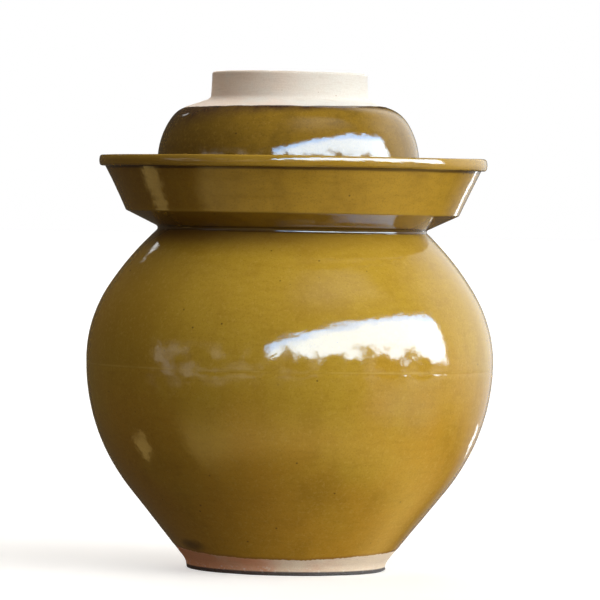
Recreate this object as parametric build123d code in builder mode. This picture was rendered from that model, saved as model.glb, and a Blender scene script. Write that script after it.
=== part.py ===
"""A water-seal fermenting crock of glazed stoneware, with its lid, inner lid and two weight stones.

The crock is thrown in four sections that are luted together before firing: the lower half,
the upper half, the mouth collar and the water moat round it. The lid is an upturned bowl that
stands in the moat over the collar. Inside it a flat inner lid covers the mouth, and two
half-moon stones keep the vegetables under the brine. All sizes are in millimetres. +Z is up
and the origin is the centre of the foot, on the surface the crock stands on.
"""

import os
from math import acos, asin, cos, degrees, radians, sin, sqrt, tan

from build123d import *

# Crock body: a sphere below its widest line, two flatter arcs above it, and a cone to the foot
belly_radius = 115.0
belly_height = 117.3  # height of the widest line
cone_angle = 38.9  # of the lower wall from the vertical
waist_radius = 78.5  # arc from the widest line up to the shoulder
shoulder_angle = 33.0  # where that arc runs into the shoulder arc
shoulder_radius = 166.0
wall = 8.0
seam_height = 114.4  # where the two halves are luted together

# Foot
foot_radius = 56.3
foot_flare = 9.0  # hollow curve from the foot into the cone
foot_edge = 0.8
base_thickness = 9.0
base_recess = 1.5  # the underside is hollowed, so that the crock stands on a ring
recess_radius = 44.0
floor_curve = 14.0  # inside, between the floor and the wall

# Mouth collar
collar_height = 198.0  # where the collar is luted to the upper half
mouth_radius = 52.0
neck_radius = 60.0
mouth_height = 236.5
throat_curve = 6.0
mouth_edge = 2.5

# Water moat: a sloping floor and a flared wall at right angles to it, with a rolled rim
moat_root = 192.3  # height of the crease where the moat leaves the shoulder
moat_floor = 201.0
moat_corner = (94.3, 201.5)
moat_wall_angle = 24.8  # of the outer wall from the vertical
moat_wall = 6.0
moat_floor_thickness = 6.5
moat_corner_edge = 1.2
moat_inner_curve = 5.0
moat_floor_curve = 8.0
rim_radius = 109.9
rim_height = 233.8
rim_depth = 6.4  # of the roll, top to bottom
rim_width = 7.4
rim_round = 2.6
rim_underside_curve = 1.0

# Lid: the bowl stands 2.8 mm off centre, because it is loose in the moat
lid_shift = -2.8
lid_radius = 73.9
lid_skirt_radius = 74.3
lid_wall = 6.3
lid_skirt_wall = 6.0
lid_skirt_edge = 1.8
lid_side_height = 230.3  # the side is straight up to here
lid_side_radius = 42.4
lid_side_angle = 33.0
lid_corner_radius = 19.7
lid_corner_angle = 71.0
lid_ring_base_radius = 44.4
lid_ring_radius = 43.9
lid_ring_height = 280.7
lid_ring_wall = 6.0
lid_ring_draft = 0.8  # the inside of the ring opens upwards
lid_ring_edge = 1.3
lid_ceiling_thickness = 7.2

# Inner lid
plate_radius = 58.5
plate_thickness = 5.5
plate_edge = 2.2
spigot_radius = 50.5
spigot_wall = 5.0
spigot_depth = 6.0
spigot_edge = 1.2
knob_foot_radius = 9.0
knob_waist_radius = 7.0
knob_waist_height = 3.5
knob_radius = 11.0
knob_rim_height = 6.5
knob_rim_thickness = 2.4
knob_height = 10.7
knob_edge = 0.9

# Weight stones: two half-moons that rest on the cone of the lower wall
weight_radius = 72.0
weight_thickness = 18.0
weight_edge = 3.0
weight_gap = 2.0
finger_hole_radius = 12.0
weight_clearance = 0.3


def on_arc(centre, radius, angle):
    """The point of an arc at an angle in degrees from the horizontal."""
    return (centre[0] + radius * cos(radians(angle)), centre[1] + radius * sin(radians(angle)))


def next_centre(centre, radius, angle, new_radius):
    """The centre of an arc of new_radius that carries on smoothly from one that ends at angle."""
    return on_arc(centre, radius - new_radius, angle)


def angle_at_height(centre, radius, height):
    return degrees(asin((height - centre[1]) / radius))


def angle_at_radius(centre, radius, distance):
    return degrees(acos((distance - centre[0]) / radius))


# Centres of the arcs of the crock's wall. The inside has the same centres, and radii less by the wall.
belly_centre = (0, belly_height)
waist_centre = next_centre(belly_centre, belly_radius, 0, waist_radius)
shoulder_centre = next_centre(waist_centre, waist_radius, shoulder_angle, shoulder_radius)


def cone_end(inset, height):
    """Where the straight lower wall, moved in by inset, is at a height."""
    top = on_arc(belly_centre, belly_radius - inset, -cone_angle)
    return (top[0] - (top[1] - height) * tan(radians(cone_angle)), height)


def cone_height(inset, distance):
    """The height at which the straight lower wall, moved in by inset, is at a distance from the axis."""
    top = on_arc(belly_centre, belly_radius - inset, -cone_angle)
    return top[1] - (top[0] - distance) / tan(radians(cone_angle))


def wall_arc(centre, radius, start, end):
    """An arc of a section, from one angle to another."""
    return CenterArc(centre, radius, start, end - start)


def wall_point(inset, height):
    """The point of the shoulder's surface, moved in by inset, at a height."""
    radius = shoulder_radius - inset
    return on_arc(shoulder_centre, radius, angle_at_height(shoulder_centre, radius, height))


# ---------------------------------------------------------------- lower half of the crock
inner_belly = belly_radius - wall
outer_seam = angle_at_height(belly_centre, belly_radius, seam_height)
inner_seam = angle_at_height(belly_centre, inner_belly, seam_height)
standing_ring = recess_radius + base_recess

with BuildPart() as lower_half:
    with BuildSketch(Plane.XZ):
        with BuildLine():
            Polyline((0, base_recess), (recess_radius, base_recess), (standing_ring, 0))
            FilletPolyline(
                (standing_ring, 0),
                (foot_radius, 0),
                (foot_radius, cone_height(0, foot_radius)),
                on_arc(belly_centre, belly_radius, -cone_angle),
                radius=(foot_edge, foot_flare),
            )
            outside = wall_arc(belly_centre, belly_radius, -cone_angle, outer_seam)
            inside = wall_arc(belly_centre, inner_belly, inner_seam, -cone_angle)
            Line(outside @ 1, inside @ 0)
            FilletPolyline(
                inside @ 1,
                cone_end(wall, base_thickness),
                (0, base_thickness),
                radius=(floor_curve,),
            )
            Line((0, base_thickness), (0, base_recess))
        make_face()
    revolve(axis=Axis.Z)

# ---------------------------------------------------------------- upper half of the crock
inner_waist = waist_radius - wall
inner_shoulder = shoulder_radius - wall
outer_collar = angle_at_height(shoulder_centre, shoulder_radius, collar_height)
inner_collar = angle_at_height(shoulder_centre, inner_shoulder, collar_height)

with BuildPart() as upper_half:
    with BuildSketch(Plane.XZ):
        with BuildLine():
            outer_start = wall_arc(belly_centre, belly_radius, outer_seam, 0)
            wall_arc(waist_centre, waist_radius, 0, shoulder_angle)
            outer_end = wall_arc(shoulder_centre, shoulder_radius, shoulder_angle, outer_collar)
            inner_end = wall_arc(shoulder_centre, inner_shoulder, inner_collar, shoulder_angle)
            wall_arc(waist_centre, inner_waist, shoulder_angle, 0)
            inner_start = wall_arc(belly_centre, inner_belly, 0, inner_seam)
            Line(outer_end @ 1, inner_end @ 0)
            Line(inner_start @ 1, outer_start @ 0)
        make_face()
    revolve(axis=Axis.Z)

# ---------------------------------------------------------------- mouth collar
outer_neck = angle_at_radius(shoulder_centre, shoulder_radius, neck_radius)
inner_neck = angle_at_radius(shoulder_centre, inner_shoulder, mouth_radius)

with BuildPart() as mouth_collar:
    with BuildSketch(Plane.XZ) as collar_section:
        with BuildLine():
            outside = wall_arc(shoulder_centre, shoulder_radius, outer_collar, outer_neck)
            inside = wall_arc(shoulder_centre, inner_shoulder, inner_neck, inner_collar)
            Polyline(
                outside @ 1,
                (neck_radius, mouth_height),
                (mouth_radius, mouth_height),
                inside @ 0,
            )
            Line(inside @ 1, outside @ 0)
        make_face()
        by_height = collar_section.vertices().group_by(Axis.Y)
        fillet(by_height[-1], mouth_edge)
        fillet(by_height[1] + by_height[2], throat_curve)
    revolve(axis=Axis.Z)

# ---------------------------------------------------------------- water moat
slope = (sin(radians(moat_wall_angle)), cos(radians(moat_wall_angle)))  # up the outer wall
moat_root_point = wall_point(0, moat_root)
moat_floor_point = wall_point(0, moat_floor)
underside_length = sqrt(
    (moat_corner[0] - moat_root_point[0]) ** 2 + (moat_corner[1] - moat_root_point[1]) ** 2
)
underside = (
    (moat_corner[0] - moat_root_point[0]) / underside_length,
    (moat_corner[1] - moat_root_point[1]) / underside_length,
)


def up_the_wall(start, height):
    """The point above start, along the slope of the moat's wall, at a height."""
    return (start[0] + (height - start[1]) * slope[0] / slope[1], height)


def along_the_floor(height):
    """The point of the moat's sloping floor, inside, at a height."""
    start = (
        moat_root_point[0] - moat_floor_thickness * underside[1],
        moat_root_point[1] + moat_floor_thickness * underside[0],
    )
    return (start[0] + (height - start[1]) * underside[0] / underside[1], height)


wall_foot = (
    moat_corner[0] - moat_wall * slope[1],
    moat_corner[1] + moat_wall * slope[0],
)
floor_start = along_the_floor(moat_floor)
# The height at which the sloping floor meets the inside of the wall
gap_at_floor = up_the_wall(wall_foot, moat_floor)[0] - floor_start[0]
inner_corner_height = moat_floor + gap_at_floor / (underside[0] / underside[1] - slope[0] / slope[1])

with BuildPart() as water_moat:
    with BuildSketch(Plane.XZ):
        with BuildLine():
            FilletPolyline(
                moat_root_point,
                moat_corner,
                up_the_wall(moat_corner, rim_height - rim_depth),
                (rim_radius, rim_height - rim_depth),
                (rim_radius, rim_height),
                (rim_radius - rim_width, rim_height),
                up_the_wall(wall_foot, inner_corner_height),
                floor_start,
                moat_floor_point,
                radius=(
                    moat_corner_edge,
                    rim_underside_curve,
                    rim_round,
                    rim_round,
                    rim_round,
                    moat_inner_curve,
                    moat_floor_curve,
                ),
            )
            wall_arc(
                shoulder_centre,
                shoulder_radius,
                angle_at_height(shoulder_centre, shoulder_radius, moat_floor),
                angle_at_height(shoulder_centre, shoulder_radius, moat_root),
            )
        make_face()
    revolve(axis=Axis.Z)

# ---------------------------------------------------------------- lid
lid_section = Plane(origin=(lid_shift, 0, 0), x_dir=(1, 0, 0), z_dir=(0, -1, 0))
lid_axis = Axis((lid_shift, 0, 0), (0, 0, 1))
side_centre = (lid_radius - lid_side_radius, lid_side_height)
corner_centre = next_centre(side_centre, lid_side_radius, lid_side_angle, lid_corner_radius)


def dome_line(radius, distance):
    """The straight top of the lid, carried on from its corner arc, at a distance from the axis."""
    start = on_arc(corner_centre, radius, lid_corner_angle)
    return (distance, start[1] + (start[0] - distance) / tan(radians(lid_corner_angle)))


crown = dome_line(lid_corner_radius, lid_ring_base_radius)
crown_height = crown[1]
ceiling_height = crown_height - lid_ceiling_thickness
ceiling_start = on_arc(corner_centre, lid_corner_radius - lid_wall, lid_corner_angle)
ceiling_radius = ceiling_start[0] - (ceiling_height - ceiling_start[1]) * tan(radians(lid_corner_angle))

with BuildPart() as lid_bowl:
    with BuildSketch(lid_section):
        with BuildLine():
            FilletPolyline(
                (lid_radius - lid_wall, lid_side_height),
                (lid_skirt_radius - lid_skirt_wall, moat_floor),
                (lid_skirt_radius, moat_floor),
                (lid_radius, lid_side_height),
                radius=lid_skirt_edge,
            )
            wall_arc(side_centre, lid_side_radius, 0, lid_side_angle)
            wall_arc(corner_centre, lid_corner_radius, lid_side_angle, lid_corner_angle)
            Polyline(
                on_arc(corner_centre, lid_corner_radius, lid_corner_angle),
                crown,
                (0, crown_height),
                (0, ceiling_height),
                (ceiling_radius, ceiling_height),
                ceiling_start,
            )
            wall_arc(corner_centre, lid_corner_radius - lid_wall, lid_corner_angle, lid_side_angle)
            wall_arc(side_centre, lid_side_radius - lid_wall, lid_side_angle, 0)
        make_face()
    revolve(axis=lid_axis)

with BuildPart() as lid_foot_ring:
    with BuildSketch(lid_section):
        with BuildLine():
            FilletPolyline(
                (lid_ring_base_radius - lid_ring_wall - lid_ring_draft, crown_height),
                (lid_ring_base_radius, crown_height),
                (lid_ring_radius, lid_ring_height),
                (lid_ring_radius - lid_ring_wall, lid_ring_height),
                radius=(0, 0, lid_ring_edge, lid_ring_edge),
                close=True,
            )
        make_face()
    revolve(axis=lid_axis)

# ---------------------------------------------------------------- inner lid
plate_top = mouth_height + plate_thickness
spigot_bottom = mouth_height - spigot_depth

with BuildPart() as inner_lid_plate:
    with BuildSketch(Plane.XZ):
        with BuildLine():
            FilletPolyline(
                (0, mouth_height),
                (spigot_radius - spigot_wall, mouth_height),
                (spigot_radius - spigot_wall, spigot_bottom),
                (spigot_radius, spigot_bottom),
                (spigot_radius, mouth_height),
                (plate_radius, mouth_height),
                (plate_radius, plate_top),
                (0, plate_top),
                radius=(0, spigot_edge, spigot_edge, 0, plate_edge, plate_edge),
            )
            Line((0, plate_top), (0, mouth_height))
        make_face()
    revolve(axis=Axis.Z)

cap_height = knob_height - knob_rim_height - knob_rim_thickness
cap_radius = (knob_radius**2 + cap_height**2) / (2 * cap_height)
cap_centre = (0, plate_top + knob_height - cap_radius)
cap_start = angle_at_radius(cap_centre, cap_radius, knob_radius)

with BuildPart() as inner_lid_knob:
    with BuildSketch(Plane.XZ) as knob_section:
        with BuildLine():
            foot = Line((0, plate_top), (knob_foot_radius, plate_top))
            waist = ThreePointArc(
                foot @ 1,
                (knob_waist_radius, plate_top + knob_waist_height),
                (knob_radius, plate_top + knob_rim_height),
            )
            cap = wall_arc(cap_centre, cap_radius, cap_start, 90)
            Line(waist @ 1, cap @ 0)
            Line(cap @ 1, foot @ 0)
        make_face()
        fillet(knob_section.vertices().group_by(Axis.X)[-1], knob_edge)
    revolve(axis=Axis.Z)

# ---------------------------------------------------------------- weight stones
# The rounded lower edge of a stone stops just short of the cone of the wall inside the crock.
cone_normal = (cos(radians(cone_angle)), sin(radians(cone_angle)))
edge_reach = weight_edge + weight_clearance
contact = weight_radius - weight_edge + edge_reach * cone_normal[0]
weight_floor = cone_height(wall, contact) + edge_reach * cone_normal[1] - weight_edge


def half_moon(side):
    """One stone, on the side of the split where x has the sign of side."""
    with BuildPart() as stone:
        with BuildSketch(Plane.XY.offset(weight_floor)):
            Circle(weight_radius)
            with Locations((side * weight_gap / 2, 0)):
                Rectangle(
                    2 * weight_radius,
                    2 * weight_radius,
                    align=(Align.MAX if side > 0 else Align.MIN, Align.CENTER),
                    mode=Mode.SUBTRACT,
                )
            Circle(finger_hole_radius, mode=Mode.SUBTRACT)
        extrude(amount=weight_thickness)
        fillet(stone.faces().filter_by(Axis.Z).edges(), weight_edge)
    return stone


pieces = {
    "crock_lower_half": lower_half,
    "crock_upper_half": upper_half,
    "mouth_collar": mouth_collar,
    "water_moat": water_moat,
    "lid_bowl": lid_bowl,
    "lid_foot_ring": lid_foot_ring,
    "inner_lid_plate": inner_lid_plate,
    "inner_lid_knob": inner_lid_knob,
    "weight_stone_left": half_moon(-1),
    "weight_stone_right": half_moon(1),
}

os.makedirs("parts", exist_ok=True)
for name, piece in pieces.items():
    piece.part.label = name
    export_step(piece.part, f"parts/{name}.step")
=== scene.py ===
"""The looks of a water-seal fermenting crock of glazed stoneware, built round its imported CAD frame.

Every CAD node is replaced by a finely thrown surface of the same outline: throwing rings, a luting
seam, glaze that thins on edges, pools in creases and ends in a rolled, wavy line above the bare clay.
Outlines are in millimetres, as (distance from the axis, height); meshes are in metres.
"""

from math import acos, asin, ceil, cos, degrees, pi, radians, sin, tan

import bpy
import numpy as np
from mathutils import Euler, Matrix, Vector, noise


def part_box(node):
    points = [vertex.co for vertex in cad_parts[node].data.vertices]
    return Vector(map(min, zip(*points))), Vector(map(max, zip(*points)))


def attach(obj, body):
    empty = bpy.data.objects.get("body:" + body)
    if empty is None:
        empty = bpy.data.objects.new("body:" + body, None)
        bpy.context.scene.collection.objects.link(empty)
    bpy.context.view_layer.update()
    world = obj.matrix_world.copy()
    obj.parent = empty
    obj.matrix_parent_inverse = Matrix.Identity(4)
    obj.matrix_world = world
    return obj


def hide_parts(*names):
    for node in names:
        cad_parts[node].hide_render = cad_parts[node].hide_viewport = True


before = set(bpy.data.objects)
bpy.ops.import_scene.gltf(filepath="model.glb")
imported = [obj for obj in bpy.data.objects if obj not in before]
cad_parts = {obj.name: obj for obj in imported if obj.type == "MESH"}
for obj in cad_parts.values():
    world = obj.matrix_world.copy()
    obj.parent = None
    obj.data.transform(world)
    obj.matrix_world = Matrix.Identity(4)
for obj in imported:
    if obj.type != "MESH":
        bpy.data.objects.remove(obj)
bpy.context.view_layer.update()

MM = 0.001
AROUND = 384  # steps round the axis
STEP = 1.5  # usual step along an outline
CLOSE = 1.0  # step on surfaces that show most
FINE = 0.5  # step where the glaze ends
COARSE = 3.4  # step where the surface is hardly seen
TOUCHING = 1e-3  # less than any real distance between two points
FULLY_GLAZED = 60.0  # distance from a glaze line, on a surface that has none

# ---------------------------------------------------------------- sizes, from the frame and the design
lower_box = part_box("crock_lower_half")
upper_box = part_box("crock_upper_half")
collar_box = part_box("mouth_collar")
moat_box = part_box("water_moat")
bowl_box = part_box("lid_bowl")
ring_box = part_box("lid_foot_ring")
plate_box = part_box("inner_lid_plate")
knob_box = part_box("inner_lid_knob")

belly_radius = upper_box[1].x / MM
seam_height = lower_box[1].z / MM
collar_height = collar_box[0].z / MM
mouth_height = collar_box[1].z / MM
rim_radius = moat_box[1].x / MM
rim_height = moat_box[1].z / MM
lid_shift = (bowl_box[0].x + bowl_box[1].x) / 2 / MM
lid_skirt_radius = (bowl_box[1].x - bowl_box[0].x) / 2 / MM
lid_bottom = bowl_box[0].z / MM
crown_height = bowl_box[1].z / MM
lid_ring_base_radius = (ring_box[1].x - ring_box[0].x) / 2 / MM
lid_ring_height = ring_box[1].z / MM
plate_radius = plate_box[1].x / MM
plate_top = plate_box[1].z / MM
spigot_bottom = plate_box[0].z / MM
knob_radius = knob_box[1].x / MM
knob_top = knob_box[1].z / MM

belly_centre = (0, 117.3)
cone_angle = 38.9
waist_radius = 78.5
shoulder_angle = 33.0
shoulder_radius = 166.0
wall = 8.0
foot_radius = 56.3
foot_flare = 9.0
foot_edge = 1.0
base_recess = 1.5
recess_radius = 44.0
floor_height = 9.0
floor_curve = 14.0
mouth_radius = 52.0
neck_radius = 60.0
throat_curve = 6.0
mouth_edge = 2.5
moat_root = 192.3
moat_floor = 201.0
moat_corner = (94.3, 201.5)
moat_wall_angle = 24.8
moat_wall = 6.0
moat_floor_thickness = 6.5
rim_depth = 6.4
rim_width = 7.4
lid_radius = 73.9
lid_wall = 6.3
lid_skirt_wall = 6.0
lid_side_height = 230.3
lid_side_radius = 42.4
lid_side_angle = 33.0
lid_corner_radius = 19.7
lid_corner_angle = 71.0
lid_ceiling_thickness = 7.2
lid_ring_top_radius = 43.9
lid_ring_wall = 6.0
spigot_radius = 50.5
spigot_wall = 5.0
knob_waist_radius = 7.2
smear = 1.6  # clay smeared over the moat's joints with the shoulder
hem_height = 12.2  # from the standing edge up to where the glaze ends
hem_top = 17.0


# ---------------------------------------------------------------- outlines
def on_arc(centre, radius, angle):
    """The point of an arc at an angle in degrees from the horizontal."""
    return np.array((centre[0] + radius * cos(radians(angle)), centre[1] + radius * sin(radians(angle))))


def next_centre(centre, radius, angle, new_radius):
    """The centre of an arc of new_radius that carries on smoothly from one that ends at angle."""
    return on_arc(centre, radius - new_radius, angle)


def angle_at_height(centre, radius, height):
    return degrees(asin((height - centre[1]) / radius))


def angle_at_radius(centre, radius, distance):
    return degrees(acos((distance - centre[0]) / radius))


def arc(centre, radius, start, end, step=STEP):
    count = max(3, ceil(radius * abs(radians(end - start)) / step) + 1)
    angles = np.radians(np.linspace(start, end, count))
    return np.column_stack((centre[0] + radius * np.cos(angles), centre[1] + radius * np.sin(angles)))


def straight(start, end, step=STEP):
    start, end = np.array(start, float), np.array(end, float)
    count = max(2, ceil(np.linalg.norm(end - start) / step) + 1)
    return np.linspace(start, end, count)


def rounded(points, radii, step=STEP):
    """Straight runs through the points, with each corner between them rounded to its radius."""
    points = [np.array(p, float) for p in points]
    runs = []
    start = points[0]
    for before, corner, after, radius in zip(points, points[1:], points[2:], radii):
        into = (corner - before) / np.linalg.norm(corner - before)
        out = (after - corner) / np.linalg.norm(after - corner)
        turn = acos(max(-1.0, min(1.0, float(into @ out))))
        reach = radius * tan(turn / 2)
        bend_start, bend_end = corner - into * reach, corner + out * reach
        runs.append(straight(start, bend_start, step))
        if radius:
            side = np.sign(into[0] * out[1] - into[1] * out[0])
            centre = bend_start + side * radius * np.array((-into[1], into[0]))
            first = degrees(np.arctan2(*(bend_start - centre)[::-1]))
            runs.append(arc(centre, radius, first, first + side * degrees(turn), min(step, radius / 5)))
        start = bend_end
    runs.append(straight(start, points[-1], step))
    return join(*runs)


def join(*runs):
    """Runs of points end to end, without repeats."""
    points = np.vstack(runs)
    keep = np.ones(len(points), bool)
    keep[1:] = np.linalg.norm(np.diff(points, axis=0), axis=1) > 1e-4
    keep[-1] &= np.linalg.norm(points[-1] - points[0]) > 1e-4
    return points[keep]


waist_centre = next_centre(belly_centre, belly_radius, 0, waist_radius)
shoulder_centre = next_centre(waist_centre, waist_radius, shoulder_angle, shoulder_radius)
inner_belly = belly_radius - wall
inner_waist = waist_radius - wall
inner_shoulder = shoulder_radius - wall


def cone_top(inset):
    return on_arc(belly_centre, belly_radius - inset, -cone_angle)


def cone_at_radius(inset, distance):
    top = cone_top(inset)
    return (distance, top[1] - (top[0] - distance) / tan(radians(cone_angle)))


def cone_at_height(inset, height):
    top = cone_top(inset)
    return (top[0] - (top[1] - height) * tan(radians(cone_angle)), height)


def on_shoulder(height):
    """The angle at which the outside of the shoulder reaches a height."""
    return angle_at_height(shoulder_centre, shoulder_radius, height)


def lower_half_outline():
    standing_ring = recess_radius + base_recess
    outer_seam = angle_at_height(belly_centre, belly_radius, seam_height)
    inner_seam = angle_at_height(belly_centre, inner_belly, seam_height)
    foot_top = cone_at_radius(0, foot_radius)
    recess_edge = (recess_radius - 4, base_recess)
    above_hem = cone_at_height(0, hem_top)
    under = straight((0, base_recess), recess_edge, 2 * COARSE)
    foot = rounded(
        [recess_edge, (recess_radius, base_recess), (standing_ring, 0), (foot_radius, 0), foot_top,
         above_hem],
        [0.5, 0.5, foot_edge, foot_flare],
        FINE,
    )
    cone = straight(above_hem, cone_top(0))
    outside = arc(belly_centre, belly_radius, -cone_angle, outer_seam, CLOSE)
    inside = arc(belly_centre, inner_belly, inner_seam, -cone_angle, COARSE)
    floor = rounded(
        [cone_top(wall), cone_at_height(wall, floor_height), (0, floor_height)], [floor_curve], COARSE
    )
    return join(under, foot, cone, outside, straight(outside[-1], inside[0], 2), inside, floor)


def upper_half_outline():
    outer_seam = angle_at_height(belly_centre, belly_radius, seam_height)
    inner_seam = angle_at_height(belly_centre, inner_belly, seam_height)
    outer_top = on_shoulder(collar_height)
    inner_top = angle_at_height(shoulder_centre, inner_shoulder, collar_height)
    outside = join(
        arc(belly_centre, belly_radius, outer_seam, 0, FINE),
        arc(waist_centre, waist_radius, 0, shoulder_angle, CLOSE),
        arc(shoulder_centre, shoulder_radius, shoulder_angle, outer_top, CLOSE),
    )
    inside = join(
        arc(shoulder_centre, inner_shoulder, inner_top, shoulder_angle),
        arc(waist_centre, inner_waist, shoulder_angle, 0),
        arc(belly_centre, inner_belly, 0, inner_seam),
    )
    return join(
        outside, straight(outside[-1], inside[0], 2), inside, straight(inside[-1], outside[0], 2)
    )


def collar_outline():
    outer_start = on_shoulder(collar_height)
    inner_start = angle_at_height(shoulder_centre, inner_shoulder, collar_height)
    outer_end = angle_at_radius(shoulder_centre, shoulder_radius, neck_radius + 4)
    inner_end = angle_at_radius(shoulder_centre, inner_shoulder, mouth_radius + 4)
    outer_foot = on_arc(shoulder_centre, shoulder_radius, outer_end)
    inner_foot = on_arc(shoulder_centre, inner_shoulder, inner_end)
    outer_corner = on_arc(
        shoulder_centre, shoulder_radius, angle_at_radius(shoulder_centre, shoulder_radius, neck_radius)
    )
    inner_corner = on_arc(
        shoulder_centre, inner_shoulder, angle_at_radius(shoulder_centre, inner_shoulder, mouth_radius)
    )
    neck = rounded(
        [outer_foot, outer_corner, (neck_radius, mouth_height), (mouth_radius, mouth_height), inner_corner,
         inner_foot],
        [throat_curve, mouth_edge, mouth_edge, throat_curve],
        0.8,
    )
    outside = arc(shoulder_centre, shoulder_radius, outer_start, outer_end)
    inside = arc(shoulder_centre, inner_shoulder, inner_end, inner_start)
    return join(outside, neck, inside, straight(inside[-1], outside[0], 2))


def moat_outline():
    """The moat's section. Its two joints with the shoulder are smeared over with a small fillet of clay."""
    up = np.array((sin(radians(moat_wall_angle)), cos(radians(moat_wall_angle))))
    root = on_arc(
        shoulder_centre, shoulder_radius, on_shoulder(moat_root)
    )
    corner = np.array(moat_corner)
    out = (corner - root) / np.linalg.norm(corner - root)
    wall_foot = corner + moat_wall * np.array((-up[1], up[0]))
    floor_line = root + moat_floor_thickness * np.array((-out[1], out[0]))

    def up_the_wall(start, height):
        return start + up * (height - start[1]) / up[1]

    floor_start = floor_line + out * (moat_floor - floor_line[1]) / out[1]
    gap = up_the_wall(wall_foot, moat_floor)[0] - floor_start[0]
    corner_height = moat_floor + gap / (out[0] / out[1] - up[0] / up[1])
    low_angle = on_shoulder(moat_root - smear)
    high_angle = on_shoulder(moat_floor + 1.5)
    smear_low = on_arc(shoulder_centre, shoulder_radius, low_angle)
    smear_high = on_arc(shoulder_centre, shoulder_radius, high_angle)
    outside = rounded(
        [
            smear_low,
            root,
            corner,
            up_the_wall(corner, rim_height - rim_depth),
            (rim_radius - 0.9, rim_height - rim_depth),
            (rim_radius, rim_height - 0.55 * rim_depth),
            (rim_radius - 0.8, rim_height),
            (rim_radius - rim_width, rim_height),
            up_the_wall(wall_foot, corner_height),
            floor_start,
            (smear_high[0] + 1.5, moat_floor),
            smear_high,
        ],
        [1.6, 1.2, 0.8, 1.5, 8.0, 1.3, 2.6, 5.0, 8.0, 2.0],
        0.8,
    )
    hidden = arc(shoulder_centre, shoulder_radius - 0.6, high_angle, low_angle, 2)
    return join(outside, hidden)


side_centre = (lid_radius - lid_side_radius, lid_side_height)
corner_centre = next_centre(side_centre, lid_side_radius, lid_side_angle, lid_corner_radius)


def lid_bowl_outline():
    ceiling_height = crown_height - lid_ceiling_thickness
    inner_corner = lid_corner_radius - lid_wall
    ceiling_start = on_arc(corner_centre, inner_corner, lid_corner_angle)
    ceiling_radius = ceiling_start[0] - (ceiling_height - ceiling_start[1]) * tan(radians(lid_corner_angle))
    skirt = rounded(
        [
            (lid_radius - lid_wall, lid_side_height),
            (lid_skirt_radius - lid_skirt_wall, lid_bottom),
            (lid_skirt_radius, lid_bottom),
            (lid_radius, lid_side_height),
        ],
        [1.8, 1.8],
    )
    side = arc(side_centre, lid_side_radius, 0, lid_side_angle, CLOSE)
    corner = arc(corner_centre, lid_corner_radius, lid_side_angle, lid_corner_angle, FINE)
    top = join(
        straight(corner[-1], (lid_ring_base_radius, crown_height), FINE),
        straight((lid_ring_base_radius, crown_height), (0, crown_height), 2),
    )
    ceiling = join(
        straight((0, ceiling_height), (ceiling_radius, ceiling_height), 2),
        straight((ceiling_radius, ceiling_height), ceiling_start),
        arc(corner_centre, inner_corner, lid_corner_angle, lid_side_angle),
        arc(side_centre, lid_side_radius - lid_wall, lid_side_angle, 0),
    )
    return join(ceiling, skirt, side, corner, top)


def lid_ring_outline():
    """The unglazed foot of the lid, with a fillet where it was turned out of the crown."""
    return rounded(
        [
            (lid_ring_base_radius - lid_ring_wall - 2.0, crown_height),
            (lid_ring_base_radius - lid_ring_wall - 0.8, crown_height + 0.6),
            (lid_ring_top_radius - lid_ring_wall, lid_ring_height),
            (lid_ring_top_radius, lid_ring_height),
            (lid_ring_base_radius, crown_height + 0.6),
            (lid_ring_base_radius + 2.2, crown_height - 0.9),
            (lid_ring_base_radius - 2.0, crown_height - 1.2),
            (lid_ring_base_radius - lid_ring_wall, crown_height - 1.2),
            (lid_ring_base_radius - lid_ring_wall - 2.0, crown_height),
        ],
        [1.2, 1.4, 1.6, 1.8, 0, 0, 0],
        0.6,
    )[::-1]


def plate_outline():
    height = mouth_height
    return rounded(
        [
            (0, height),
            (spigot_radius - spigot_wall, height),
            (spigot_radius - spigot_wall, spigot_bottom),
            (spigot_radius, spigot_bottom),
            (spigot_radius, height),
            (plate_radius, height),
            (plate_radius, plate_top),
            (0, plate_top),
        ],
        [1.2, 1.2, 1.2, 0.4, 2.2, 2.2],
        CLOSE,
    )


def knob_outline():
    return rounded(
        [
            (0, plate_top - 0.4),
            (knob_radius, plate_top - 0.4),
            (knob_waist_radius, plate_top + 2.4),
            (knob_waist_radius, plate_top + 4.4),
            (knob_radius, plate_top + 6.2),
            (knob_radius, plate_top + 9.0),
            (7.0, knob_top - 0.3),
            (0, knob_top),
        ],
        [0, 2.5, 2.5, 1.2, 1.4, 6.0],
        FINE,
    )


# ---------------------------------------------------------------- unevenness
class Ripples:
    """A smooth random field round the axis, with a spread of about 1.

    The pieces on both sides of a joint use the same one.
    """

    def __init__(self, seed, around, length, count=40):
        draw = np.random.default_rng(seed)
        self.turns = draw.integers(-around, around + 1, count)
        self.rates = draw.normal(0, 2 * pi / length, count)
        self.phases = draw.uniform(0, 2 * pi, count)
        self.share = (2 / count) ** 0.5

    def __call__(self, theta, height):
        total = 0
        for turns, rate, phase in zip(self.turns, self.rates, self.phases):
            total = total + np.cos(turns * theta + rate * height + phase)
        return total * self.share


def bump(distance, width):
    return np.exp(-((distance / width) ** 2))


def ease(value, start, end):
    share = np.clip((value - start) / (end - start), 0.0, 1.0)
    return share * share * (3 - 2 * share)


outside_sway = Ripples(3, 4, 90, 24)
outside_dents = Ripples(5, 14, 26)
ring_strength = Ripples(8, 4, 40, 24)
inside_sway = Ripples(13, 5, 60, 24)
glaze_runs = Ripples(21, 46, 160)
glaze_hem = Ripples(34, 7, 1e6, 16)
fine_hem = Ripples(55, 28, 1e6, 24)


def throwing_rings(theta, height, pitch):
    """A spiral groove left by the fingers, stronger in some places than in others."""
    strength = 0.6 + 0.4 * ring_strength(theta, height)
    return strength * np.cos(2 * pi * height / pitch + theta)


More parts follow.
